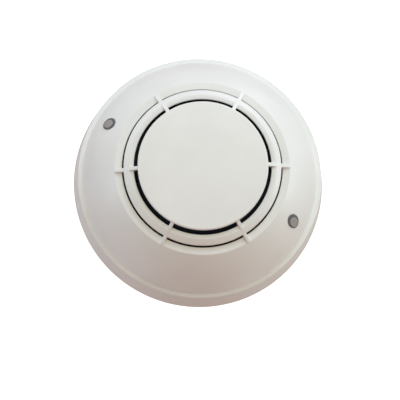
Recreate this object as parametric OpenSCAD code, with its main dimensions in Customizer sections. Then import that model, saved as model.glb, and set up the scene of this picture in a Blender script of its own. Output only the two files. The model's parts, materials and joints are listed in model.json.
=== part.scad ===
// Plug-in heat detector: a wall or ceiling base and a twist-on sensing head.
// Millimetres. The origin is the centre of the base's back face and +Z points
// out of the mounting surface. The six cover ribs lie at 0, 60, 120 degrees and so on.

/* [Base] */
// Diameter of the base where it meets the mounting surface
base_d = 102; // [101:0.5:104]
// Diameter of the base at the top of its rim
rim_d = 99.7; // [99.3:0.1:100]
// Height of the base's rim
rim_h = 12.7; // [12.4:0.1:12.8]
// Thickness of the base's floor
floor_t = 2.2; // [1.8:0.1:2.4]
// Diameter of the central cable entry
entry_d = 36; // [20:1:38]
// Distance between the middles of two opposite mounting slots
slot_pitch = 60; // [56:1:62]
// Length of a mounting slot, from end to end
slot_len = 14.5; // [6:0.5:15]
// Width of a mounting slot
slot_w = 4.5; // [3.5:0.5:5.5]

/* [Head] */
// Diameter of the flange that lies over the base's rim
ledge_d = 99.7; // [99.3:0.1:100]
// Height of that flange's face, where the dome begins
ledge_h = 15; // [14.6:0.1:15.4]
// Radius of the sphere that the dome follows
dome_r = 50.1; // [49.9:0.1:50.3]
// Height of that sphere's centre
dome_cz = 0.9; // [0.7:0.1:1.1]
// Wall thickness of the front cover
cover_t = 1.8; // [1.4:0.1:2]
// Height of the front disc's face
disc_z = 42.6; // [42.4:0.1:43]
// Diameter of the front disc
disc_d = 53.3; // [52.3:0.2:53.7]
// Width of a rib
rib_w = 1.5; // [1:0.1:3]
// Number of ribs
rib_n = 6; // [3:1:12]

/* [Indicators] */
// Diameter of the hole for each indicator lens
lens_d = 5.4; // [4.4:0.1:5.6]
// Lean of the indicator lenses away from the front
lens_tilt = 6; // [4:0.5:8]

/* [Twist lock] */
// Turn that frees the head from the base
twist = 18; // [17:0.5:18]

/* [Hidden] */
$fn = 96;
eps = 0.01;

// Base
seam = 0.3;
wall_in_r = 48.5;
recess_r = 42;
recess_t = 0.6;
lug_in_r = 46;
catch_z = 9.5;
catch_t = 2;
catch_angle = 9;
lug_start = 20;
pad_top = 4.4;
plate_t = 0.8;
plate_top = pad_top + plate_t;
washer_t = 0.8;
spring_top = 5.9;
contact_r = 33;
blade_angle = 54;
screw_angle = 32;
blade_z = spring_top + 0.3;
blade_len = 6.4;
blade_w = 5;
blade_t = 0.8;
leg_x = 0.8;
leg_w = 2.2;
leg_t = 0.8;

// Head
skirt_z = 12.1;
skirt_r = wall_in_r - seam;
shelf_out_r = 35.8;
shelf_z = dome_cz + sqrt(pow(dome_r, 2) - pow(shelf_out_r, 2));
shelf_t = 1.4;
shelf_in_r = 32.7;
ring_out_r = 32.15;
ring_in_r = 28.05;
ring_flat_r = 30;
ring_top_z = shelf_z + 3.55;
ring_low_z = ring_top_z - 1.4;
ring_foot_z = ring_low_z - 1.9;
ring_t = 1.1;
disc_t = 1.5;
edge_r = 0.4;
rear_z = 8.5;
rear_t = 2;
rear_r = 45.6;
rear_wall_t = 1.2;
rear_wall_top = 15.5;
tab_angle = 7;
board_z = 17;
board_t = 1.6;
board_top = board_z + board_t;
board_r = 42.8;
boss_r = 2.8;
boss_ring_r = 41;
cover_pilot_r = 1.1;
standoff_ring_r = 36;
board_pilot_r = 0.9;
guide_r = 32.2;
guide_t = 1.2;
guide_top = 33;
hook_w = 5;
bead_ring_r = 24;
bead_z = 38.2;
lead_r = 0.25;
lead_gap = 0.8;
lens_angles = [150, 330];
lens_r = lens_d / 2 - 0.1;
lens_crown = 0.45;
lens_tip_r = 25;
lens_ring_r = 42.5;
lens_z = dome_cz + sqrt(pow(dome_r, 2) - pow(lens_ring_r, 2));
lens_body = 6;
lens_foot = 6.8;
led_ring_r = 41;
switch_x = 8.5;
switch_y = -18;
switch_w = 10;
switch_z = 12.5;
dial_r = 4.2;
dial_z = 9.2;
dial_t = 3;
stem_r = 2;
stem_gap = 0.05;
stem_top = 15.5;

white = [0.93, 0.92, 0.89];
black = [0.08, 0.08, 0.09];
brass = [0.78, 0.62, 0.30];
steel = [0.72, 0.73, 0.75];
green = [0.08, 0.32, 0.18];
smoke = [0.45, 0.43, 0.43];

// Places its children at a radius and an angle about the part's axis
module polar(r, a) {
    rotate([0, 0, a]) translate([r, 0, 0]) children();
}

// A ring-shaped sector between two radii, two heights and two angles
module sector(r0, r1, z0, z1, a0, a1) {
    rotate([0, 0, a0])
        rotate_extrude(angle = a1 - a0)
            translate([r0, z0]) square([r1 - r0, z1 - z0]);
}

// A slot of the given length along X, cut through the floor
module slot_cut(len, w, h) {
    run = len - w;
    translate([-run / 2, -w / 2, 0]) cube([run, w, h]);
    for (side = [-1, 1]) {
        translate([side * run / 2, 0, 0]) cylinder(d = w, h = h);
    }
}

// ---------------------------------------------------------------- base

// Floor and tapered rim wall
module base_cup() {
    rotate_extrude($fn = 128) {
        polygon([[entry_d / 2, 0], [base_d / 2 - 0.3, 0], [base_d / 2, 0.3], [rim_d / 2, rim_h],
            [wall_in_r, rim_h], [wall_in_r, floor_t], [entry_d / 2, floor_t]]);
    }
}

// Recess that leaves the back face an outer ring, an inner ring and a land at each slot
module back_recess() {
    difference() {
        rotate_extrude() translate([entry_d / 2 + 3, -1])
            square([recess_r - entry_d / 2 - 3, 1 + recess_t]);
        for (a = [0:90:270]) {
            polar(slot_pitch / 2, a) translate([-slot_len / 2 - 2, -slot_w / 2 - 2, -2])
                cube([slot_len + 4, slot_w + 4, 4]);
        }
    }
}

// One bayonet pocket: a catch over the tab, a closed end and a release stop
module pocket(a) {
    sector(lug_in_r, wall_in_r + 0.3, catch_z, catch_z + catch_t, a - catch_angle, a + catch_angle);
    sector(lug_in_r, wall_in_r + 0.3, floor_t - 0.2, catch_z + eps, a - catch_angle, a - tab_angle - 0.4);
    sector(lug_in_r + 0.5, wall_in_r + 0.3, floor_t - 0.2, catch_z, a + tab_angle + twist + 0.4,
        a + tab_angle + twist + 2.4);
}

// Raised pad that carries one terminal plate
module terminal_pad(k) {
    translate([0, 0, floor_t - 0.2])
        sector(contact_r - 5.5, contact_r + 5.5, 0, pad_top - floor_t + 0.2,
            90 * k + screw_angle - 8, 90 * k + blade_angle + 6);
}

module base_shell() {
    color(white) difference() {
        union() {
            base_cup();
            rotate_extrude() translate([entry_d / 2, 0]) square([1.5, floor_t + 1.8]);
            for (k = [0:2]) pocket(lug_start + 120 * k);
            for (k = [0:3]) terminal_pad(k);
        }
        for (a = [0:90:270]) {
            polar(slot_pitch / 2, a) translate([0, 0, -1]) slot_cut(slot_len, slot_w, floor_t + 2);
        }
        for (k = [0:3]) {
            polar(contact_r, 90 * k + screw_angle) translate([0, 0, 1.2]) cylinder(r = 1.6, h = pad_top);
        }
        back_recess();
    }
}

module terminal_plate(k) {
    color(brass) difference() {
        sector(contact_r - 4.5, contact_r + 4.5, pad_top, plate_top,
            90 * k + screw_angle - 7, 90 * k + blade_angle + 5);
        polar(contact_r, 90 * k + screw_angle) translate([0, 0, pad_top - 1]) cylinder(r = 1.6, h = 3);
    }
}

// Sprung leaf on the plate, which the head's blade slides over
module contact_spring(k) {
    rise = spring_top - plate_top;
    color(steel) rotate([0, 0, 90 * k + blade_angle]) translate([contact_r - 2.5, 0, plate_top])
        rotate([90, 0, 90]) linear_extrude(5)
            polygon([[-7, 0], [-4.5, 0], [-1.5, rise - 0.25], [1, rise - 0.25], [3.2, 0.02],
                [3.4, 0.25], [1.2, rise], [-1.7, rise], [-4.7, 0.25], [-7, 0.25]]);
}

module clamp_washers() {
    color(steel) for (k = [0:3]) {
        polar(contact_r, 90 * k + screw_angle) translate([0, 0, plate_top]) difference() {
            translate([-3.4, -3.4, 0]) cube([6.8, 6.8, washer_t]);
            translate([0, 0, -1]) cylinder(r = 1.9, h = 3);
        }
    }
}

// Pan head with a cross recess, and a shank below it. The head's underside is at z = 0.
module screw(head_r, head_h, shank_r, shank_len) {
    difference() {
        union() {
            translate([0, 0, -shank_len]) cylinder(r = shank_r, h = shank_len + eps);
            cylinder(r = head_r, h = head_h * 0.6);
            translate([0, 0, head_h * 0.6 - eps])
                cylinder(r1 = head_r, r2 = head_r * 0.75, h = head_h * 0.4);
        }
        for (a = [0, 90]) {
            rotate([0, 0, a]) translate([-head_r * 0.55, -head_r * 0.11, head_h * 0.5])
                cube([head_r * 1.1, head_r * 0.22, head_h]);
        }
    }
}

module terminal_screws() {
    color(steel) for (k = [0:3]) {
        polar(contact_r, 90 * k + screw_angle) translate([0, 0, plate_top + washer_t])
            rotate([0, 0, 20 * k]) screw(3, 1.8, 1.6, 4.6);
    }
}

// ---------------------------------------------------------------- head

// Everything inside the dome's sphere
module envelope(inset) {
    translate([0, 0, dome_cz]) sphere(r = dome_r - inset, $fn = 128);
}

// Skirt, flange, domed wall, flat shelf around the inlets and the guard lip under it
module cover_wall() {
    flange_w = ledge_d / 2 - skirt_r;
    flange_t = ledge_h - rim_h - seam;
    rotate_extrude($fn = 128) {
        translate([skirt_r - cover_t, skirt_z]) square([cover_t, ledge_h - skirt_z]);
        translate([skirt_r - 1, rim_h + seam]) {
            square([flange_w + 1, flange_t - edge_r]);
            square([flange_w + 1 - edge_r, flange_t]);
        }
        translate([ledge_d / 2 - edge_r, ledge_h - edge_r]) circle(r = edge_r, $fn = 32);
        intersection() {
            translate([0, dome_cz]) difference() {
                circle(r = dome_r, $fn = 128);
                circle(r = dome_r - cover_t, $fn = 128);
            }
            translate([shelf_in_r, ledge_h - 0.5]) square([20, shelf_z - ledge_h + 0.5]);
        }
        translate([shelf_in_r, shelf_z - shelf_t]) square([shelf_out_r - shelf_in_r - 0.3, shelf_t]);
        translate([shelf_in_r, guide_top]) square([1.2, shelf_z - guide_top]);
    }
}

// Ring between the two inlets: a flat, a slope and an outer wall
module inlet_ring() {
    rotate_extrude($fn = 128) polygon([[ring_in_r, ring_top_z - ring_t], [ring_in_r, ring_top_z],
        [ring_flat_r, ring_top_z], [ring_out_r, ring_low_z], [ring_out_r, ring_foot_z],
        [ring_out_r - 1.15, ring_foot_z], [ring_flat_r - 0.3, ring_top_z - ring_t]]);
}

module front_disc() {
    rotate_extrude($fn = 128) {
        translate([0, disc_z - disc_t]) square([disc_d / 2, disc_t - edge_r]);
        translate([0, disc_z - disc_t]) square([disc_d / 2 - edge_r, disc_t]);
        translate([disc_d / 2 - edge_r, disc_z - edge_r]) circle(r = edge_r, $fn = 32);
    }
}

// Ribs that carry the ring and the disc. Their tops stand on the shelf and on the ring's flat,
// and lie just under its slope.
module ribs() {
    end_r = shelf_out_r + 0.8;
    end_z = dome_cz + sqrt(pow(dome_r, 2) - pow(end_r, 2));
    intersection() {
        rotate_extrude($fn = 128)
            polygon([[end_r, shelf_z - shelf_t + 0.1], [shelf_in_r, shelf_z - shelf_t], [31.6, 36],
                [27.6, 38.3], [26.2, disc_z - disc_t], [24.5, disc_z - disc_t + 0.1],
                [24.5, disc_z - 0.2], [25.4, disc_z - 0.2], [ring_in_r, ring_top_z + 1.4],
                [ring_flat_r, ring_top_z + 0.25], [31, ring_top_z - 0.71], [ring_out_r, ring_low_z - 0.06],
                [shelf_out_r, shelf_z + 0.35], [end_r, end_z - 0.06]]);
        union() {
            for (k = [0:rib_n - 1]) {
                rotate([0, 0, 360 / rib_n * k]) translate([20, -rib_w / 2, 30]) cube([20, rib_w, 20]);
            }
        }
    }
}

// Places its children on an indicator's axis: z = 0 is at the cover's surface, and +Z
// points out through the sloping wall
module on_lens_axis(a) {
    rotate([0, 0, a]) translate([lens_ring_r, 0, lens_z]) rotate([0, lens_tilt, 0]) children();
}

module front_cover() {
    color(white) difference() {
        union() {
            cover_wall();
            inlet_ring();
            front_disc();
            ribs();
            intersection() {
                envelope(0.6);
                union() {
                    for (k = [0:2]) polar(boss_ring_r, 120 * k) translate([0, 0, rear_z + rear_t])
                        cylinder(r = boss_r, h = 24);
                    for (a = lens_angles) on_lens_axis(a) translate([0, 0, -lens_foot])
                        cylinder(d = lens_d + 2, h = 14);
                }
            }
        }
        for (k = [0:2]) {
            polar(boss_ring_r, 120 * k) translate([0, 0, rear_z]) cylinder(r = cover_pilot_r, h = 12);
        }
        for (a = lens_angles) on_lens_axis(a) translate([0, 0, -12]) cylinder(d = lens_d, h = 22);
    }
}

// Fine mesh basket behind the air inlets, as a thin stepped shell
module insect_screen() {
    t = 0.3;
    color(black) rotate_extrude($fn = 128) polygon([[32.4, guide_top], [32.4, 34.1], [31.3, 35.6],
        [27.3, 37.9], [25.9, 40.6], [20, 40.6], [20, 40.6 - t], [25.9 - t, 40.6 - t],
        [27.3 - t, 37.9 - t], [31.3 - t, 35.6 - t], [32.4 - t, 34.1 - t], [32.4 - t, guide_top]]);
}

// Black drum that closes the electronics off from the air path
module air_guide() {
    color(black) difference() {
        union() {
            rotate_extrude() {
                translate([guide_r - guide_t, board_top]) square([guide_t, guide_top - board_top]);
                translate([0, guide_top - guide_t]) square([guide_r, guide_t]);
            }
            for (a = [90, 270]) polar(bead_ring_r, a) translate([0, 0, guide_top - eps])
                cylinder(r = 2, h = 3);
            for (k = [0:2]) rotate([0, 0, 120 * k]) {
                translate([guide_r - guide_t, -hook_w / 2, board_z - 1.3])
                    cube([guide_t, hook_w, board_top - board_z + 3]);
                translate([guide_r - eps, -hook_w / 2, board_z - 1.3]) cube([0.8, hook_w, 1.2]);
            }
        }
        for (a = [90, 270]) polar(bead_ring_r, a) for (side = [-1, 1]) {
            translate([0, side * lead_gap, 30]) cylinder(r = lead_r + 0.05, h = 8);
        }
    }
}

// Glass-coated bead on two leads that end in the circuit board
module thermistor(a) {
    color([0.12, 0.12, 0.13]) polar(bead_ring_r, a) {
        translate([0, 0, bead_z]) sphere(r = 1.3);
        for (side = [-1, 1]) {
            translate([0, side * lead_gap, board_z - 0.8]) cylinder(r = lead_r, h = bead_z - board_z + 0.8);
        }
    }
}

// Smoked lens whose tip follows the sloping wall and stands a little proud of it, over a narrow foot
module lens(a) {
    lean = asin(lens_ring_r / dome_r);
    color(smoke) {
        intersection() {
            on_lens_axis(a) translate([0, 0, -lens_body]) cylinder(r = lens_r, h = 2 * lens_body);
            translate([0, 0, dome_cz]) rotate([0, lean, a])
                translate([0, 0, dome_r + lens_crown - lens_tip_r]) sphere(r = lens_tip_r);
        }
        on_lens_axis(a) translate([0, 0, -lens_foot]) cylinder(r = 1.5, h = lens_foot - lens_body + eps);
    }
}

module status_led(a) {
    color([0.9, 0.9, 0.85]) polar(led_ring_r, a) {
        translate([-1.5, -1.5, board_top]) cube([3, 3, 1]);
        translate([0, 0, board_top + 1 - eps]) cylinder(r = 1.1, h = 0.5);
    }
}

module circuit_board() {
    color(green) difference() {
        translate([0, 0, board_z]) cylinder(r = board_r, h = board_t);
        for (k = [0:2]) {
            polar(boss_ring_r, 120 * k) translate([0, 0, board_z - 1]) cylinder(r = boss_r + 0.4, h = 4);
            polar(standoff_ring_r, 60 + 120 * k) translate([0, 0, board_z - 1]) cylinder(r = 1.2, h = 4);
            rotate([0, 0, 120 * k]) translate([guide_r - guide_t - 0.2, -hook_w / 2 - 0.2, board_z - 1])
                cube([guide_t + 1.4, hook_w + 0.4, 4]);
        }
        for (a = [90, 270]) polar(bead_ring_r, a) for (side = [-1, 1]) {
            translate([0, side * lead_gap, board_z - 1]) cylinder(r = lead_r + 0.05, h = 4);
        }
        for (k = [0:3]) polar(contact_r, 90 * k + blade_angle) {
            translate([leg_x - 0.1, -leg_t / 2 - 0.1, board_z - 1]) cube([leg_w + 0.2, leg_t + 0.2, 4]);
        }
    }
}

module microcontroller() {
    color(black) {
        translate([-5, -5, board_top + 0.1]) cube([10, 10, 1.4]);
        for (q = [0:3]) rotate([0, 0, 90 * q]) for (i = [-5:5]) {
            translate([4.9, i * 0.8 - 0.15, board_top]) cube([1.1, 0.3, 0.6]);
        }
    }
}

module capacitors() {
    color([0.2, 0.2, 0.24]) for (y = [-9, 1, 10]) {
        translate([-17, y, board_top]) {
            cylinder(r = 2.5, h = 6.2);
            translate([-2.7, -2.7, 0]) cube([5.4, 5.4, 0.6]);
        }
    }
}

// Small surface-mount parts, in rows beside the microcontroller
module chip_components() {
    color([0.25, 0.2, 0.16]) {
        for (row = [0:2]) for (col = [0:3]) {
            translate([10 + 4.5 * row, -10.5 + 6 * col, board_top]) cube([1.6, 3.2, 0.8]);
        }
        for (col = [0:2]) translate([-7 + 6 * col, -16, board_top]) cube([3.4, 1.8, 1.1]);
    }
}

// Glass reed capsule that a test magnet closes through the cover
module reed_switch() {
    color([0.55, 0.6, 0.55]) rotate([0, 0, 210]) translate([36, 0, board_top + 1.3]) rotate([90, 0, 0]) {
        translate([0, 0, -4.5]) cylinder(r = 1.1, h = 9);
        translate([0, 0, -6.5]) cylinder(r = 0.3, h = 13);
        for (side = [-1, 1]) translate([-0.3, -1.3, side * 6.3 - 0.3]) cube([0.6, 1.5, 0.6]);
    }
}

module switch_body(x) {
    color([0.15, 0.2, 0.45]) translate([x, switch_y, 0]) difference() {
        translate([-switch_w / 2, -switch_w / 2, switch_z]) cube([switch_w, switch_w, board_z - switch_z]);
        translate([0, 0, switch_z - 1]) cylinder(r = stem_r + stem_gap, h = stem_top + 1.3 - switch_z);
    }
}

// Dial with a screwdriver slot and a pointer notch, on a stem that turns in the switch
module rotor(x) {
    color([0.9, 0.88, 0.8]) translate([x, switch_y, 0]) difference() {
        union() {
            translate([0, 0, dial_z]) cylinder(r = dial_r, h = dial_t);
            translate([0, 0, dial_z + dial_t - eps])
                cylinder(r = stem_r, h = stem_top - dial_z - dial_t + eps);
        }
        translate([-0.6, -3.2, dial_z - 1]) cube([1.2, 6.4, 2.2]);
        translate([0, 3.2, dial_z - 1]) cylinder(r = 1.1, h = 2.2, $fn = 3);
    }
}

// One bayonet tab, which the base's catch holds down
module tab(a) {
    sector(44.5, wall_in_r - 0.6, catch_z - 2.7, catch_z - 0.3, a - tab_angle, a + tab_angle);
}

module rear_housing() {
    color(white) difference() {
        union() {
            rotate_extrude() {
                translate([0, rear_z]) square([rear_r, rear_t]);
                translate([rear_r - rear_wall_t, rear_z]) square([rear_wall_t, rear_wall_top - rear_z]);
            }
            for (k = [0:2]) {
                tab(lug_start + 120 * k);
                polar(standoff_ring_r, 60 + 120 * k) translate([0, 0, rear_z + rear_t - 0.2])
                    cylinder(r = 2.6, h = board_z - rear_z - rear_t + 0.2);
            }
        }
        for (k = [0:2]) {
            polar(standoff_ring_r, 60 + 120 * k) translate([0, 0, rear_z + rear_t + 1])
                cylinder(r = board_pilot_r, h = 10);
            polar(boss_ring_r, 120 * k) translate([0, 0, rear_z - 1]) cylinder(r = 1.3, h = 4);
        }
        for (x = [-switch_x, switch_x]) {
            translate([x, switch_y, rear_z - 1]) cylinder(r = dial_r + 0.4, h = 4);
        }
        for (k = [0:3]) polar(contact_r, 90 * k + blade_angle) {
            translate([leg_x, -leg_t / 2, rear_z - 1]) cube([leg_w, leg_t, 4]);
        }
    }
}

// Flat contact under the rear housing, with a leg up to the circuit board
module contact_blade(k) {
    color(brass) polar(contact_r, 90 * k + blade_angle) {
        translate([-blade_len / 2, -blade_w / 2, blade_z]) cube([blade_len, blade_w, blade_t]);
        translate([leg_x, -leg_t / 2, blade_z]) cube([leg_w, leg_t, board_top + 0.7 - blade_z]);
    }
}

module board_screws() {
    color(steel) for (k = [0:2]) {
        polar(standoff_ring_r, 60 + 120 * k) translate([0, 0, board_top]) screw(2, 1.3, board_pilot_r, 6);
    }
}

module cover_screws() {
    color(steel) for (k = [0:2]) {
        polar(boss_ring_r, 120 * k) translate([0, 0, rear_z]) mirror([0, 0, 1])
            screw(2.2, 1.4, cover_pilot_r, 10);
    }
}

module blank_label() {
    color([0.85, 0.86, 0.87]) translate([-14, 8, rear_z - 0.2]) cube([28, 16, 0.2]);
}

base_shell();
terminal_plate(0);  // terminal_plate_1
terminal_plate(1);  // terminal_plate_2
terminal_plate(2);  // terminal_plate_3
terminal_plate(3);  // terminal_plate_4
contact_spring(0);  // contact_spring_1
contact_spring(1);  // contact_spring_2
contact_spring(2);  // contact_spring_3
contact_spring(3);  // contact_spring_4
clamp_washers();
terminal_screws();
front_cover();
insect_screen();
air_guide();
thermistor(270);  // thermistor_left
thermistor(90);  // thermistor_right
lens(lens_angles[0]);  // lens_left
lens(lens_angles[1]);  // lens_right
status_led(lens_angles[0]);  // status_led_left
status_led(lens_angles[1]);  // status_led_right
circuit_board();
microcontroller();
capacitors();
chip_components();
reed_switch();
switch_body(-switch_x);  // tens_switch_body
switch_body(switch_x);  // ones_switch_body
rotor(-switch_x);  // tens_rotor
rotor(switch_x);  // ones_rotor
rear_housing();
contact_blade(0);  // contact_blade_1
contact_blade(1);  // contact_blade_2
contact_blade(2);  // contact_blade_3
contact_blade(3);  // contact_blade_4
board_screws();
cover_screws();
blank_label();
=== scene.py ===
"""Looks for the plug-in heat detector: refined meshes, materials, light and camera."""

import json
import math

import bmesh
import bpy
from mathutils import Matrix, Vector

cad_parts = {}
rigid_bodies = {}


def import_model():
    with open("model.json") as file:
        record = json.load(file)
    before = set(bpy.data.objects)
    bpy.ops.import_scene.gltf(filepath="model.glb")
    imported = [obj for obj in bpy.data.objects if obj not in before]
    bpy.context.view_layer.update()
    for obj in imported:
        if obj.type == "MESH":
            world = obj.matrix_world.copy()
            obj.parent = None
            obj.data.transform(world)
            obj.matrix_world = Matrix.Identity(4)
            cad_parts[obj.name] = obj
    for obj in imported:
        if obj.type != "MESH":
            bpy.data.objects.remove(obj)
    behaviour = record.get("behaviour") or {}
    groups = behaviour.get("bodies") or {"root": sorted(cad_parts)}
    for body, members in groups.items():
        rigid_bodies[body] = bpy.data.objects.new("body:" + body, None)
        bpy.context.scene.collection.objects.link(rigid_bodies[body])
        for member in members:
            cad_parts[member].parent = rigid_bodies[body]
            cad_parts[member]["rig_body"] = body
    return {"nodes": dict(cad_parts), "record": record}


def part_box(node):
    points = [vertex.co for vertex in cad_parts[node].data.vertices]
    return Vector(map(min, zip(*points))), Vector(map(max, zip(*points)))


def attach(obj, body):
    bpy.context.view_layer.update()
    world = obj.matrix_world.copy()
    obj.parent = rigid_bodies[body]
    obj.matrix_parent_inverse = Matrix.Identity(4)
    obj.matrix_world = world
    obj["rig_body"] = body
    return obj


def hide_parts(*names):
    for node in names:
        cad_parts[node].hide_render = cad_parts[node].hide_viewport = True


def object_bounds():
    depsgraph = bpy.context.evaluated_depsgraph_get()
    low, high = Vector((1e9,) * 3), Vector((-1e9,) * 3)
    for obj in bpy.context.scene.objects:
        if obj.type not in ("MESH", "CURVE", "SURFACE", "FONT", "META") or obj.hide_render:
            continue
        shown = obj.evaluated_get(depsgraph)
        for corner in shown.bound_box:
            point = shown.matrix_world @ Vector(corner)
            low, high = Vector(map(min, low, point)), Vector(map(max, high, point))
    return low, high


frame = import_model()
cad_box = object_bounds()

MM = 0.001
TAU = 2 * math.pi

# ------------------------------------------------------------------ dimensions
# Heights and radii in millimetres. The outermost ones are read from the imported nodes.
base_low, base_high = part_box("base_shell")
cover_low, cover_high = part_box("front_cover")
BASE_R = base_high.x / MM
RIM_Z = base_high.z / MM
RIM_R = 49.85
LEDGE_Z = 15.0
LEDGE_R = 49.85
SKIRT_R = 48.2
SEAM = 0.12
WALL_IN_R = 48.5
FLOOR_T = 2.2
ENTRY_R = 18.0
SKIRT_Z = cover_low.z / MM
DISC_Z = cover_high.z / MM
DISC_R = 26.65
DOME_R = 50.1
DOME_CZ = 0.9
COVER_T = 1.8
SHELF_Z = 35.95
SHELF_OUT_R = 35.8
SHELF_IN_R = 32.7
LIP_Z = 33.0
SHELF_T = 1.4
LIP_T = 1.2
RING_IN_R = 28.05
RING_FLAT_R = 30.0
RING_OUT_R = 32.15
RING_WALL_IN_R = 31.0
RING_TOP_Z = 39.5
RING_LOW_Z = 38.1
RING_FOOT_Z = 36.2
RING_T = 1.1
DISC_T = 1.5
RIB_W = 1.5
RIB_COUNT = 6
RIB_START = 24.6
RIB_END = 36.3
RIB_CORNER = 0.25
BOSS_RING_R = 41
LENS_AXIS_R = 42.5
LENS_TILT = math.radians(6)
LENS_ANGLES = {"lens_left": 150, "lens_right": 330}
LENS_HOLE_R = 2.7
LENS_POST_STEPS = 64
LATHE_STEPS = 288
FILLET_STEPS = 5


# ------------------------------------------------------------------ mesh helpers
def polar(radius, degrees, z=0.0):
    """A point at a radius and an angle about the detector's axis."""
    a = math.radians(degrees)
    return Vector((radius * math.cos(a), radius * math.sin(a), z))


def fillet(corner, before, after, radius):
    """The points of an arc that rounds a corner between two straight stretches."""
    p, a, b = Vector(corner), Vector(before), Vector(after)
    u, v = (a - p).normalized(), (b - p).normalized()
    half = u.angle(v) / 2
    reach = min(radius / math.tan(half), (a - p).length * 0.49, (b - p).length * 0.49)
    radius = reach * math.tan(half)
    centre = p + (u + v).normalized() * (radius / math.sin(half))
    start, end = p + u * reach - centre, p + v * reach - centre
    turn = start.angle_signed(end)
    points = []
    for i in range(FILLET_STEPS + 1):
        points.append(centre + Matrix.Rotation(-turn * i / FILLET_STEPS, 2) @ start)
    return points


def rounded(corners):
    """A closed outline from (r, z, fillet radius) corners, or (r, z) where a corner stays sharp."""
    outline = []
    count = len(corners)
    for i, corner in enumerate(corners):
        p = Vector(corner[:2])
        if len(corner) < 3:
            outline.append(p)
            continue
        before, after = corners[i - 1][:2], corners[(i + 1) % count][:2]
        outline.extend(fillet(p, before, after, corner[2]))
    return outline


def sphere_arc(radius, z_start, z_end, steps):
    """Points on the head's sphere, or one inside it, between two heights."""
    low = math.asin((z_start - DOME_CZ) / radius)
    high = math.asin((z_end - DOME_CZ) / radius)
    points = []
    for i in range(steps + 1):
        a = low + (high - low) * i / steps
        points.append((radius * math.cos(a), DOME_CZ + radius * math.sin(a)))
    return points


def make_object(name, bm):
    """A mesh object from a bmesh in millimetres, with its normals pointing out."""
    bmesh.ops.remove_doubles(bm, verts=bm.verts, dist=1e-5)
    bmesh.ops.recalc_face_normals(bm, faces=bm.faces)
    bmesh.ops.scale(bm, vec=(MM, MM, MM), verts=bm.verts)
    mesh = bpy.data.meshes.new(name)
    bm.to_mesh(mesh)
    bm.free()
    obj = bpy.data.objects.new(name, mesh)
    bpy.context.scene.collection.objects.link(obj)
    return obj


def add_lathe(bm, outline, steps=LATHE_STEPS, place=Matrix.Identity(4)):
    """Turns a closed (r, z) outline about the Z axis of place, in millimetres."""
    rings = []
    for r, z in outline:
        if r < 1e-6:
            rings.append([bm.verts.new(place @ Vector((0, 0, z)))])
            continue
        ring = []
        for k in range(steps):
            a = TAU * k / steps
            ring.append(bm.verts.new(place @ Vector((r * math.cos(a), r * math.sin(a), z))))
        rings.append(ring)
    for i, ring in enumerate(rings):
        other = rings[(i + 1) % len(rings)]
        if len(ring) == 1 and len(other) == 1:
            continue
        for k in range(steps):
            n = (k + 1) % steps
            corners = [ring[k % len(ring)], ring[n % len(ring)],
                       other[n % len(other)], other[k % len(other)]]
            distinct = list(dict.fromkeys(corners))
            if len(distinct) > 2:
                bm.faces.new(distinct)


def lathe(name, outline, steps=LATHE_STEPS):
    """An object turned from a closed (r, z) outline about the detector's axis."""
    bm = bmesh.new()
    add_lathe(bm, outline, steps)
    return make_object(name, bm)


def add_prism(bm, outline, low, high, place=Matrix.Identity(4)):
    """A closed (x, y) outline extruded from one height to another, in millimetres."""
    bottom = [bm.verts.new(place @ Vector((x, y, low))) for x, y in outline]
    top = [bm.verts.new(place @ Vector((x, y, high))) for x, y in outline]
    bm.faces.new(bottom[::-1])
    bm.faces.new(top)
    for i in range(len(outline)):
        n = (i + 1) % len(outline)
        bm.faces.new((bottom[i], bottom[n], top[n], top[i]))


def slot_outline(length, width):
    """A slot with round ends, along X and centred on the origin."""
    points = []
    run = (length - width) / 2
    steps = 16
    for side in (0, 1):
        for i in range(steps + 1):
            a = math.pi * (side + i / steps) - math.pi / 2
            points.append((run * (1 - 2 * side) + width / 2 * math.cos(a), width / 2 * math.sin(a)))
    return points


def sector_outline(r_in, r_out, start, end):
    """A ring sector between two radii and two angles in degrees."""
    outer, inner = [], []
    steps = 24
    for i in range(steps + 1):
        a = start + (end - start) * i / steps
        outer.append(polar(r_out, a)[:2])
        inner.append(polar(r_in, a)[:2])
    return outer + inner[::-1]


def combine(target, tools, operation):
    """Unites the target with each tool, or cuts each tool out of it, and removes the tools."""
    for tool in tools:
        modifier = target.modifiers.new("combine", "BOOLEAN")
        modifier.operation = operation
        modifier.solver = "MANIFOLD"
        modifier.object = tool
        graph = bpy.context.evaluated_depsgraph_get()
        mesh = bpy.data.meshes.new_from_object(target.evaluated_get(graph))
        target.modifiers.clear()
        target.data = mesh
        bpy.data.objects.remove(tool)
    return target


def shade(obj, sharp_degrees=32):
    """Smooth shading, with a sharp edge wherever two faces meet at a larger angle."""
    for polygon in obj.data.polygons:
        polygon.use_smooth = True
    obj.data.set_sharp_from_angle(angle=math.radians(sharp_degrees))
    return obj


def stands_for(obj, node, material):
    """The piece replaces a CAD node, rides on its body and takes a material."""
    obj.data.materials.clear()
    obj.data.materials.append(material)
    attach(obj, frame["nodes"][node]["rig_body"])
    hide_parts(node)
    return obj


SLOTS = {row["node"]: row["material_slot"] for row in frame["record"]["subparts"]}


# ------------------------------------------------------------------ material helpers
def new_material(name):
    """A material with its nodes, its links and its main shader."""
    material = bpy.data.materials.new(name)
    material.use_nodes = True
    nodes = material.node_tree.nodes
    return material, nodes, material.node_tree.links, nodes["Principled BSDF"]


def noise(nodes, links, scale, detail=4.0):
    """Noise in object space, where scale is in features per metre."""
    coordinates = nodes.new("ShaderNodeTexCoord")
    texture = nodes.new("ShaderNodeTexNoise")
    texture.inputs["Scale"].default_value = scale
    texture.inputs["Detail"].default_value = detail
    links.new(coordinates.outputs["Object"], texture.inputs["Vector"])
    return texture.outputs["Fac"]


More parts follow.
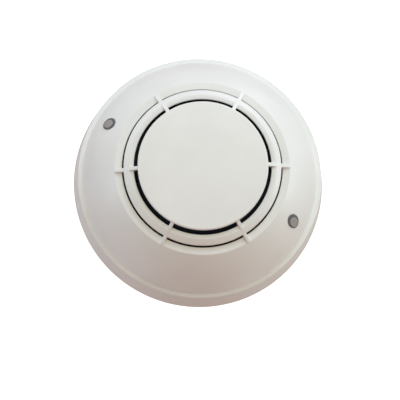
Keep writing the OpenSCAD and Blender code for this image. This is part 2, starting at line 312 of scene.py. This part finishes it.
def ramp(nodes, links, factor, low, high, low_at=0.3, high_at=0.7):
    """A colour ramp between two colours or two grey values."""
    node = nodes.new("ShaderNodeValToRGB")
    node.color_ramp.elements[0].position = low_at
    node.color_ramp.elements[1].position = high_at
    node.color_ramp.elements[0].color = (*low, 1)
    node.color_ramp.elements[1].color = (*high, 1)
    links.new(factor, node.inputs["Fac"])
    return node.outputs["Color"]


def bump(nodes, links, shader, height, distance):
    """Fine relief on the shader's normal, with its depth in metres."""
    node = nodes.new("ShaderNodeBump")
    node.inputs["Distance"].default_value = distance
    node.inputs["Strength"].default_value = 1.0
    links.new(height, node.inputs["Height"])
    links.new(node.outputs["Normal"], shader.inputs["Normal"])


def shifted(color, factor):
    """A colour made darker or lighter by a factor."""
    return tuple(min(1.0, c * factor) for c in color)


def plastic(name, color, roughness=0.45, variation=0.03, grain=4500, grain_depth=0.000012):
    """Moulded plastic: a faint cloudiness in its colour and gloss, and a fine spark-eroded grain."""
    material, nodes, links, shader = new_material(name)
    cloud = noise(nodes, links, 45, 3)
    tint = ramp(nodes, links, cloud, shifted(color, 1 - variation), shifted(color, 1 + variation))
    links.new(tint, shader.inputs["Base Color"])
    patches = noise(nodes, links, 160)
    sheen = ramp(nodes, links, patches, (roughness - 0.05,) * 3, (roughness + 0.05,) * 3)
    links.new(sheen, shader.inputs["Roughness"])
    bump(nodes, links, shader, noise(nodes, links, grain, 2), grain_depth)
    shader.inputs["IOR"].default_value = 1.5
    return material


def metal(name, color, roughness=0.25, brushed=(1, 1, 1), depth=0.000006):
    """Metal with fine marks, which are drawn out along the axis with the smallest scale."""
    material, nodes, links, shader = new_material(name)
    coordinates = nodes.new("ShaderNodeTexCoord")
    stretch = nodes.new("ShaderNodeMapping")
    stretch.inputs["Scale"].default_value = brushed
    marks = nodes.new("ShaderNodeTexNoise")
    marks.inputs["Scale"].default_value = 2500
    marks.inputs["Detail"].default_value = 3
    links.new(coordinates.outputs["Object"], stretch.inputs["Vector"])
    links.new(stretch.outputs["Vector"], marks.inputs["Vector"])
    tint = ramp(nodes, links, noise(nodes, links, 260), shifted(color, 0.88), shifted(color, 1.06))
    links.new(tint, shader.inputs["Base Color"])
    gloss = ramp(nodes, links, marks.outputs["Fac"], (roughness - 0.08,) * 3, (roughness + 0.1,) * 3)
    links.new(gloss, shader.inputs["Roughness"])
    bump(nodes, links, shader, marks.outputs["Fac"], depth)
    shader.inputs["Metallic"].default_value = 1.0
    return material


def clear_plastic(name, color, transmission, roughness=0.12, ior=1.5):
    """Translucent plastic with a faint moulding ripple."""
    material, nodes, links, shader = new_material(name)
    tint = ramp(nodes, links, noise(nodes, links, 700), shifted(color, 0.9), shifted(color, 1.1))
    links.new(tint, shader.inputs["Base Color"])
    bump(nodes, links, shader, noise(nodes, links, 900, 1), 0.00001)
    shader.inputs["Roughness"].default_value = roughness
    shader.inputs["Transmission Weight"].default_value = transmission
    shader.inputs["IOR"].default_value = ior
    return material


def board_laminate(name):
    """Green solder resist with copper tracks under it, and bare tinned dots."""
    material, nodes, links, shader = new_material(name)
    coordinates = nodes.new("ShaderNodeTexCoord")
    tracks = nodes.new("ShaderNodeTexBrick")
    tracks.inputs["Scale"].default_value = 130
    tracks.inputs["Mortar Size"].default_value = 0.035
    tracks.inputs["Color1"].default_value = (0.018, 0.13, 0.055, 1)
    tracks.inputs["Color2"].default_value = (0.022, 0.15, 0.065, 1)
    tracks.inputs["Mortar"].default_value = (0.05, 0.27, 0.12, 1)
    links.new(coordinates.outputs["Object"], tracks.inputs["Vector"])
    dots = nodes.new("ShaderNodeTexVoronoi")
    dots.inputs["Scale"].default_value = 330
    links.new(coordinates.outputs["Object"], dots.inputs["Vector"])
    dot = ramp(nodes, links, dots.outputs["Distance"], (1, 1, 1), (0, 0, 0), 0.12, 0.15)
    mix = nodes.new("ShaderNodeMix")
    mix.data_type = "RGBA"
    links.new(dot, mix.inputs["Factor"])
    links.new(tracks.outputs["Color"], mix.inputs["A"])
    mix.inputs["B"].default_value = (0.62, 0.60, 0.55, 1)
    links.new(mix.outputs["Result"], shader.inputs["Base Color"])
    links.new(dot, shader.inputs["Metallic"])
    bump(nodes, links, shader, tracks.outputs["Fac"], 0.00003)
    shader.inputs["Roughness"].default_value = 0.3
    return material


# ------------------------------------------------------------------ materials
COVER_WHITE = plastic("cover_white", (0.83, 0.825, 0.80), 0.42)
BASE_WHITE = plastic("base_white", (0.81, 0.805, 0.78), 0.46)
HOUSING_WHITE = plastic("housing_white", (0.70, 0.69, 0.665), 0.5)
BLACK_PLASTIC = plastic("black_plastic", (0.018, 0.018, 0.02), 0.38, 0.15, 5200)
BLACK_MESH = metal("black_mesh", (0.035, 0.055, 0.085), 0.3)
BRASS = metal("contact_brass", (0.83, 0.66, 0.33), 0.24, (1, 14, 1))
SPRING = metal("spring_strip", (0.72, 0.72, 0.71), 0.22, (14, 1, 1))
ZINC = metal("zinc_plate", (0.66, 0.67, 0.70), 0.3)
SMOKED = clear_plastic("smoked_lens", (0.15, 0.162, 0.178), 0.2, 0.12)
LENS_FACE = clear_plastic("lens_face", (0.37, 0.345, 0.335), 0.1, 0.3)
LED_BODY = clear_plastic("led_body", (0.85, 0.83, 0.74), 0.15, 0.25)
REED_GLASS = clear_plastic("reed_glass", (0.55, 0.68, 0.60), 0.8, 0.04)
BOARD = board_laminate("board_laminate")
BEAD = plastic("bead_epoxy", (0.02, 0.02, 0.025), 0.18, 0.1, 1500)
CAN = metal("capacitor_can", (0.60, 0.60, 0.63), 0.3, (1, 1, 20))
CHIP = plastic("chip_ceramic", (0.16, 0.12, 0.09), 0.5, 0.25, 3000)
SWITCH_BLUE = plastic("switch_blue", (0.05, 0.11, 0.34), 0.4, 0.08)
DIAL_IVORY = plastic("dial_ivory", (0.80, 0.76, 0.64), 0.42, 0.05)
LABEL = plastic("label_film", (0.72, 0.73, 0.74), 0.3, 0.03, 900, 0.000006)

CAD_MATERIALS = {
    "base_white": BASE_WHITE, "cover_white": COVER_WHITE, "housing_white": HOUSING_WHITE,
    "brass": BRASS, "spring_steel": SPRING, "zinc_steel": ZINC, "black_mesh": BLACK_MESH,
    "black_plastic": BLACK_PLASTIC, "bead_black": BEAD, "smoked_lens": SMOKED, "led_white": LED_BODY,
    "board_green": BOARD, "capacitor_can": CAN, "chip_brown": CHIP, "reed_glass": REED_GLASS,
    "switch_blue": SWITCH_BLUE, "dial_ivory": DIAL_IVORY, "label_silver": LABEL,
}


def paint_cad_nodes():
    """Every CAD node gets the finished material of its slot."""
    for node, obj in frame["nodes"].items():
        obj.data.materials.clear()
        obj.data.materials.append(CAD_MATERIALS[SLOTS[node]])


# ------------------------------------------------------------------ front cover
def lens_place(degrees):
    """The frame of an indicator: its origin on the cover, +Z out along the lens's axis."""
    z = DOME_CZ + math.sqrt(DOME_R ** 2 - LENS_AXIS_R ** 2)
    turn = Matrix.Rotation(math.radians(degrees), 4, "Z")
    return turn @ Matrix.Translation((LENS_AXIS_R, 0, z)) @ Matrix.Rotation(LENS_TILT, 4, "Y")


def cover_outline():
    """Skirt, flange over the base's rim, dome, shelf round the inlets and the guard lip under it."""
    inner_r = DOME_R - COVER_T
    shelf_low = SHELF_Z - SHELF_T
    lip_out_r = SHELF_IN_R + LIP_T
    flange_low = RIM_Z + SEAM
    outer = sphere_arc(DOME_R, LEDGE_Z, SHELF_Z - 0.2, 30)
    inner = sphere_arc(inner_r, LEDGE_Z, shelf_low, 24)
    edge = rounded([outer[-2], (SHELF_OUT_R, SHELF_Z, 0.5), (SHELF_IN_R, SHELF_Z, 0.3),
                    (SHELF_IN_R, LIP_Z, 0.2), (lip_out_r, LIP_Z, 0.2), (lip_out_r, shelf_low, 0.2),
                    inner[-1]])
    skirt = rounded([inner[1], (SKIRT_R - COVER_T, LEDGE_Z, 0.3), (SKIRT_R - COVER_T, SKIRT_Z, 0.2),
                     (SKIRT_R, SKIRT_Z, 0.3), (SKIRT_R, flange_low, 0.1), (LEDGE_R, flange_low, 0.15),
                     (LEDGE_R, LEDGE_Z, 0.45), (outer[0][0], LEDGE_Z, 0.12), outer[1]])
    return outer[2:-2] + edge + inner[-2:1:-1] + skirt


def ring_outline():
    """Inlet ring: a flat, a slope and an outer wall."""
    low = RING_TOP_Z - RING_T
    return rounded([(RING_IN_R, low, 0.3), (RING_IN_R, RING_TOP_Z, 0.35), (RING_FLAT_R, RING_TOP_Z, 0.8),
                    (RING_OUT_R, RING_LOW_Z, 0.3), (RING_OUT_R, RING_FOOT_Z, 0.3),
                    (RING_WALL_IN_R, RING_FOOT_Z, 0.3), (RING_FLAT_R - 0.3, low, 0.8)])


def disc_outline():
    """The flat front disc."""
    low = DISC_Z - DISC_T
    return rounded([(0, low), (DISC_R, low, 0.3), (DISC_R, DISC_Z, 0.55), (0, DISC_Z)])


# Undersides and tops of the ribs as (r, z) points
RIB_FLOOR = [(24.5, DISC_Z - 1.4), (26.2, DISC_Z - 1.5), (27.6, 38.3), (31.6, 36.0), (SHELF_IN_R, 34.55),
             (36.6, 34.65)]
RIB_TOP = [(24.5, DISC_Z - 0.17), (25.4, DISC_Z - 0.17), (RING_IN_R, RING_TOP_Z + 1.4),
           (RING_FLAT_R, RING_TOP_Z + 0.25), (31.0, RING_TOP_Z - 0.72), (RING_OUT_R, RING_LOW_Z - 0.07),
           (SHELF_OUT_R, SHELF_Z + 0.35), (36.6, 35.04)]


def height_at(r, line):
    """Height at radius r of a line through (r, z) points."""
    for (r0, z0), (r1, z1) in zip(line, line[1:]):
        if r <= r1:
            return z0 + (z1 - z0) * (r - r0) / (r1 - r0)
    return line[-1][1]


def rib_section(r, z):
    """Across a rib at radius r: a rounded top at height z over straight sides."""
    half = RIB_W / 2
    points = [(-half, height_at(r, RIB_FLOOR))]
    for i in range(7):
        a = math.pi - math.pi / 2 * i / 6
        points.append((-half + RIB_CORNER + RIB_CORNER * math.cos(a),
                       z - RIB_CORNER + RIB_CORNER * math.sin(a)))
    return points + [(-y, h) for y, h in points[::-1]]


def ribs():
    """Six ribs from the disc over the ring's flat, through its slope and over the shelf."""
    bm = bmesh.new()
    steps = 30
    for k in range(RIB_COUNT):
        turn = Matrix.Rotation(TAU * k / RIB_COUNT, 4, "Z")
        sections = []
        for i in range(steps + 1):
            r = RIB_START + (RIB_END - RIB_START) * i / steps
            section = rib_section(r, height_at(r, RIB_TOP))
            sections.append([bm.verts.new(turn @ Vector((r, y, z))) for y, z in section])
        for a, b in zip(sections, sections[1:]):
            for j in range(len(a)):
                n = (j + 1) % len(a)
                bm.faces.new((a[j], a[n], b[n], b[j]))
        bm.faces.new(sections[0])
        bm.faces.new(sections[-1][::-1])
    return make_object("ribs", bm)


def lens_bores():
    """The two holes through the wall that the lenses stand in."""
    bm = bmesh.new()
    bore = [(0, -12), (LENS_HOLE_R, -12), (LENS_HOLE_R, 10), (0, 10)]
    for degrees in LENS_ANGLES.values():
        add_lathe(bm, bore, LENS_POST_STEPS, lens_place(degrees))
    return make_object("bores", bm)


def lens_sleeves():
    """Sleeves that hold the lenses under the wall. Their tops stay inside it."""
    bm = bmesh.new()
    for degrees in LENS_ANGLES.values():
        add_crowned_post(bm, lens_place(degrees), LENS_HOLE_R + 1, -6.8, -0.7, DOME_R)
    return make_object("sleeves", bm)


def screw_bosses():
    """Three posts inside the cover that its screws run up into."""
    bm = bmesh.new()
    boss = [(1.1, 22), (1.1, 10.5), (2.8, 10.5), (2.8, 21.5), (0, 26), (0, 22)]
    for degrees in (0, 120, 240):
        add_lathe(bm, boss, 40, Matrix.Translation(polar(BOSS_RING_R, degrees)))
    return make_object("bosses", bm)


def build_front_cover():
    """Cover wall, ring and disc, joined by the ribs, with the sleeves and bosses inside."""
    bm = bmesh.new()
    for outline in (cover_outline(), ring_outline(), disc_outline()):
        add_lathe(bm, outline)
    cover = make_object("front_cover_shell", bm)
    combine(cover, [ribs(), lens_sleeves(), screw_bosses()], "UNION")
    combine(cover, [lens_bores()], "DIFFERENCE")
    return stands_for(shade(cover), "front_cover", COVER_WHITE)


# ------------------------------------------------------------------ lenses
LENS_CROWN = 0.45
LENS_TIP_R = 25.0
LENS_CORE_R = 1.85
# Shift of the pale lens face outward and towards -Y: the dark smoked rim it leaves on the upper, inner
# side is painted shadow of the bore's wall
LENS_CORE_SHADOW_OUT = 0.4
LENS_CORE_SHADOW_DOWN = 0.25


def add_crowned_post(bm, place, radius, low, crown, tip_r, middle=(0.0, 0.0), edge=0.0):
    """A round post along the Z axis of place, with a top that lies on a sphere of radius tip_r.
    That sphere rises crown above the dome, on the dome's normal at place. The post stands at
    middle, and edge is the rounding radius of its rim."""
    lean = math.asin(LENS_AXIS_R / DOME_R)
    normal = Matrix.Rotation(-LENS_TILT, 3, "Y") @ Vector((math.sin(lean), 0, math.cos(lean)))
    centre = normal * (crown - tip_r)
    steps = LENS_POST_STEPS
    rings = [(radius * j / 10, 0.0) for j in range(1, 10)]
    for j in range(6):
        a = math.pi / 2 * j / 5
        rings.append((radius - edge + edge * math.sin(a), edge * (1 - math.cos(a))))

    def top(x, y):
        return centre.z + math.sqrt(tip_r ** 2 - (x - centre.x) ** 2 - (y - centre.y) ** 2)

    loops = [[bm.verts.new(place @ Vector((*middle, top(*middle))))]]
    for r, drop in rings:
        loop = []
        for k in range(steps):
            x = middle[0] + r * math.cos(TAU * k / steps)
            y = middle[1] + r * math.sin(TAU * k / steps)
            loop.append(bm.verts.new(place @ Vector((x, y, top(x, y) - drop))))
        loops.append(loop)
    base = []
    for k in range(steps):
        a = TAU * k / steps
        base.append(bm.verts.new(place @ Vector((middle[0] + radius * math.cos(a),
                                                 middle[1] + radius * math.sin(a), low))))
    loops.append(base)
    loops.append([bm.verts.new(place @ Vector((*middle, low)))])
    for a, b in zip(loops, loops[1:]):
        for k in range(steps):
            n = (k + 1) % steps
            corners = [a[k % len(a)], a[n % len(a)], b[n % len(b)], b[k % len(b)]]
            bm.faces.new(list(dict.fromkeys(corners)))


def build_lens(node, degrees):
    """Smoked lens with its tip proud of the wall, and the paler end of the light pipe in its face. The
    pale face is shifted outward and towards -Y, the bottom of the view, so that the dark smoked rim
    shows as a crescent on its upper, inner side: a painted shadow of the bore's wall.
    """
    place = lens_place(degrees)
    bm = bmesh.new()
    add_crowned_post(bm, place, LENS_HOLE_R - 0.07, -6.0, LENS_CROWN, LENS_TIP_R, edge=0.3)
    add_lathe(bm, [(0, -6.8), (1.5, -6.8), (1.5, -6.0), (0, -6.0)], 48, place)
    lens = make_object(node + "_shell", bm)
    stands_for(shade(lens), node, SMOKED)
    bm = bmesh.new()
    # Painted shadow: the face moves towards -Y and outward, so the smoked rim shows dark above and
    # inside it, like the bore wall's shade
    shadow_shift = Matrix.Rotation(math.radians(-degrees), 2) @ Vector((0, -LENS_CORE_SHADOW_DOWN))
    middle = (LENS_CORE_SHADOW_OUT + shadow_shift.x, shadow_shift.y)
    add_crowned_post(bm, place, LENS_CORE_R, -4.0, LENS_CROWN + 0.03, LENS_TIP_R, middle, 0.02)
    core = make_object(node + "_face", bm)
    return stands_for(shade(core), node, LENS_FACE)


# ------------------------------------------------------------------ insect screen
# From the screen's foot behind the outer slot to its edge under the disc, as (r, z) points
SCREEN_PATH = [(32.25, 33.15), (32.25, 34.05), (31.15, 35.45), (27.15, 37.75), (25.75, 40.45),
               (20.2, 40.45)]
WIRE_R = 0.14
RADIAL_WIRES = 168
RING_WIRES = 18


def along_screen(share):
    """The (r, z) point at a share of the screen's length, and the direction square to it."""
    spans = [(Vector(b) - Vector(a)).length for a, b in zip(SCREEN_PATH, SCREEN_PATH[1:])]
    left = share * sum(spans)
    for (a, b), span in zip(zip(SCREEN_PATH, SCREEN_PATH[1:]), spans):
        if left <= span + 1e-9:
            direction = (Vector(b) - Vector(a)) / span
            return Vector(a) + direction * left, Vector((direction.y, -direction.x))
        left -= span
    return Vector(SCREEN_PATH[-1]), Vector((0, 1))


def add_wire(bm, points, sides, normals, closed=False):
    """A thin tube through the points. Each normal is the tube's outward direction there."""
    rings = []
    count = len(points)
    for i, p in enumerate(points):
        ahead = points[(i + 1) % count] if closed or i < count - 1 else p
        behind = points[i - 1] if closed or i > 0 else p
        tangent = (ahead - behind).normalized()
        side = tangent.cross(normals[i]).normalized()
        up = side.cross(tangent)
        ring = []
        for k in range(sides):
            a = TAU * (k + 0.5) / sides
            ring.append(bm.verts.new(p + (side * math.cos(a) + up * math.sin(a)) * WIRE_R))
        rings.append(ring)
    for i in range(count if closed else count - 1):
        a, b = rings[i], rings[(i + 1) % count]
        for k in range(sides):
            n = (k + 1) % sides
            bm.faces.new((a[k], a[n], b[n], b[k]))
    if not closed:
        bm.faces.new(rings[0])
        bm.faces.new(rings[-1][::-1])


def build_insect_screen():
    """Woven wire: radial wires pass over and under the ring wires in turn."""
    bm = bmesh.new()
    weave = WIRE_R * 0.85
    for ring in range(RING_WIRES + 1):
        (r, z), _ = along_screen(ring / RING_WIRES)
        points, normals = [], []
        for k in range(RADIAL_WIRES):
            a = 360 * k / RADIAL_WIRES
            points.append(polar(r, a, z))
            normals.append(Vector((0, 0, 1)))
        add_wire(bm, points, 5, normals, closed=True)
    for k in range(RADIAL_WIRES):
        a = 360 * (k + 0.5) / RADIAL_WIRES
        points, normals = [], []
        for i in range(2 * RING_WIRES + 1):
            (r, z), out = along_screen(i / (2 * RING_WIRES))
            lift = weave * math.cos(math.pi * (i / 2 + k))
            points.append(polar(r + out.x * lift, a, z + out.y * lift))
            normals.append(polar(1, a + 90).cross(polar(out.x, a, out.y)).cross(polar(1, a + 90)))
        add_wire(bm, points, 4, normals)
    screen = make_object("insect_screen_wires", bm)
    return stands_for(shade(screen, 50), "insect_screen", BLACK_MESH)


# ------------------------------------------------------------------ base
CONTACT_R = 33.0
SCREW_ANGLE = 32.0
BLADE_ANGLE = 54.0
LUG_START = 20.0
LUG_IN_R = 46.0
CATCH_Z = 9.5
PAD_TOP = 4.4
SLOT_PITCH = 60.0
SLOT_LENGTH = 14.5
SLOT_WIDTH = 4.5
RECESS_R = 42.0
RECESS_T = 0.6
LAND_W = 2.0
COLLAR_T = 1.5
COLLAR_H = 1.8
PAD_HALF_W = 5.5
CATCH_T = 2.0
CATCH_HALF_ANGLE = 9.0
WALL_ANGLE = 1.6
STOP_ANGLE = 25.4
STOP_WIDTH_ANGLE = 2.0


def base_outline():
    """Floor, collar round the cable entry and the tapered rim wall."""
    return rounded([
        (ENTRY_R, 0, 0.3), (BASE_R, 0, 0.45), (RIM_R, RIM_Z, 0.15), (WALL_IN_R, RIM_Z, 0.2),
        (WALL_IN_R, FLOOR_T, 0.8), (ENTRY_R + COLLAR_T, FLOOR_T, 0.4),
        (ENTRY_R + COLLAR_T, FLOOR_T + COLLAR_H, 0.3), (ENTRY_R, FLOOR_T + COLLAR_H, 0.3)])


def base_pads():
    """Raised terminal pads and the three bayonet pockets."""
    bm = bmesh.new()
    for k in range(4):
        start, end = 90 * k + SCREW_ANGLE - 8, 90 * k + BLADE_ANGLE + 6
        pad = sector_outline(CONTACT_R - PAD_HALF_W, CONTACT_R + PAD_HALF_W, start, end)
        add_prism(bm, pad, FLOOR_T - 0.2, PAD_TOP)
    pads = make_object("pads", bm)
    pockets = []
    for k in range(3):
        a = LUG_START + 120 * k
        closed, stop = a - CATCH_HALF_ANGLE, a + STOP_ANGLE
        for r_in, low, high, start, end in (
                (LUG_IN_R, CATCH_Z, CATCH_Z + CATCH_T, closed, a + CATCH_HALF_ANGLE),
                (LUG_IN_R, FLOOR_T - 0.2, CATCH_Z + 0.01, closed, closed + WALL_ANGLE),
                (LUG_IN_R + 0.5, FLOOR_T - 0.2, CATCH_Z, stop, stop + STOP_WIDTH_ANGLE)):
            bm = bmesh.new()
            add_prism(bm, sector_outline(r_in, WALL_IN_R + 0.3, start, end), low, high)
            pockets.append(make_object("pocket", bm))
    return [pads] + pockets


def base_cuts():
    """Mounting slots through the floor and the clearance holes under the terminal screws."""
    bm = bmesh.new()
    for a in range(0, 360, 90):
        place = Matrix.Rotation(math.radians(a), 4, "Z") @ Matrix.Translation((SLOT_PITCH / 2, 0, 0))
        add_prism(bm, slot_outline(SLOT_LENGTH, SLOT_WIDTH), -1, FLOOR_T + 1, place)
    for k in range(4):
        place = Matrix.Translation(polar(CONTACT_R, 90 * k + SCREW_ANGLE))
        add_lathe(bm, [(0, 1.2), (1.6, 1.2), (1.6, PAD_TOP + 1), (0, PAD_TOP + 1)], 40, place)
    return make_object("cuts", bm)


def back_recess():
    """Recess in the back face, with a land left round each mounting slot."""
    inner_r = ENTRY_R + 3
    recess = lathe("recess", rounded([(inner_r, -1), (RECESS_R, -1), (RECESS_R, RECESS_T, 0.3),
                                      (inner_r, RECESS_T, 0.3)]))
    bm = bmesh.new()
    for a in range(0, 360, 90):
        place = Matrix.Rotation(math.radians(a), 4, "Z") @ Matrix.Translation((SLOT_PITCH / 2, 0, 0))
        add_prism(bm, slot_outline(SLOT_LENGTH + 2 * LAND_W, SLOT_WIDTH + 2 * LAND_W), -2, 2, place)
    return combine(recess, [make_object("lands", bm)], "DIFFERENCE")


def build_base_shell():
    """The base's moulding with its pads and pockets, less its slots and recess."""
    base = lathe("base_shell_body", base_outline())
    combine(base, base_pads(), "UNION")
    combine(base, [base_cuts(), back_recess()], "DIFFERENCE")
    return stands_for(shade(base), "base_shell", BASE_WHITE)


# ------------------------------------------------------------------ stage
# The backdrop's outline in millimetres: flat under the detector, then rising a little
FLOOR_OUTLINE = [(0, -10), (3000, -10), (3000, 67.5), (300, 0), (0, 0)]


def build_floor():
    """The plain white backdrop under the detector. It rises a little away from the detector, so
    that a low view has no horizon, and it gives the object no bounce light."""
    material, nodes, links, shader = new_material("floor")
    tone = ramp(nodes, links, noise(nodes, links, 2), (0.93,) * 3, (0.95,) * 3)
    links.new(tone, shader.inputs["Base Color"])
    shader.inputs["Roughness"].default_value = 0.9
    shader.inputs["Emission Color"].default_value = (1, 1, 1, 1)
    shader.inputs["Emission Strength"].default_value = 1.0
    floor = lathe("floor", FLOOR_OUTLINE, 96)
    floor.location.z = cad_box[0][2] - 0.0001
    floor.data.materials.append(material)
    floor.visible_diffuse = False
    floor.visible_glossy = False


def area_light(name, position, size, power, color):
    """A soft disc light, size metres across, that faces the detector."""
    data = bpy.data.lights.new(name, "AREA")
    data.shape = "DISK"
    data.size = size
    data.energy = power
    data.color = color
    light = bpy.data.objects.new(name, data)
    light.location = position
    aim = Vector(LIGHT_TARGET) - Vector(position)
    light.rotation_euler = aim.to_track_quat("-Z", "Y").to_euler()
    bpy.context.scene.collection.objects.link(light)


LIGHT_TARGET = (0, 0, 0.02)
# Name, position in metres, size, power in watts and colour
LIGHTS = [
    ("key", (0.25, 0.62, 0.5), 0.5, 3.48, (0.649, 0.804, 1.0)),
    ("high", (0.1, 0.28, 0.85), 0.4, 1.18, (0.757, 1.0, 0.727)),
    ("low", (-0.35, 0.3, 0.22), 0.3, 0.296, (0.787, 0.936, 1.0)),
    ("right", (0.8, 0.0, 0.1), 0.4, 2.53, (0.772, 0.988, 1.0)),
    ("left", (-0.8, 0.0, 0.1), 0.4, 1.51, (0.401, 0.75, 1.0)),
]
WORLD_COLOR = (1.0, 0.797, 0.719)
WORLD_STRENGTH = 0.498


def build_lights():
    """An even warm surround and the five lights."""
    world = bpy.data.worlds.new("studio")
    world.use_nodes = True
    world.node_tree.nodes["Background"].inputs["Color"].default_value = (*WORLD_COLOR, 1)
    world.node_tree.nodes["Background"].inputs["Strength"].default_value = WORLD_STRENGTH
    bpy.context.scene.world = world
    for row in LIGHTS:
        area_light(*row)


# Angles of the view, then the picture's width and the aim's offset in metres
CAMERA_TILT = math.radians(11.1)
CAMERA_SIDE = math.radians(253.3)
IMAGE_UP = math.radians(87.83)
CAMERA_DISTANCE = 6.0
FRAME_WIDTH = 0.16386
AIM_RIGHT = 0.00084
AIM_DOWN = 0.00614


def build_camera():
    """A long lens, 11 degrees off the detector's axis."""
    back = Vector((math.sin(CAMERA_TILT) * math.cos(CAMERA_SIDE),
                   math.sin(CAMERA_TILT) * math.sin(CAMERA_SIDE), math.cos(CAMERA_TILT)))
    up_hint = Vector((math.cos(IMAGE_UP), math.sin(IMAGE_UP), 0))
    up = (up_hint - back * up_hint.dot(back)).normalized()
    right = up.cross(back)
    data = bpy.data.cameras.new("camera")
    data.sensor_width = 36
    data.lens = data.sensor_width * CAMERA_DISTANCE / FRAME_WIDTH
    data.clip_start = 0.1
    data.clip_end = 20
    camera = bpy.data.objects.new("camera", data)
    aim = right * AIM_RIGHT - up * AIM_DOWN
    turn = Matrix((right, up, back)).transposed().to_4x4()
    camera.matrix_world = Matrix.Translation(aim + back * CAMERA_DISTANCE) @ turn
    bpy.context.scene.collection.objects.link(camera)
    bpy.context.scene.camera = camera


# ------------------------------------------------------------------ make everything
build_camera()
bpy.context.scene.view_settings.view_transform = "Standard"
paint_cad_nodes()
build_front_cover()
for lens_node, lens_angle in LENS_ANGLES.items():
    build_lens(lens_node, lens_angle)
build_insect_screen()
build_base_shell()
build_floor()
build_lights()
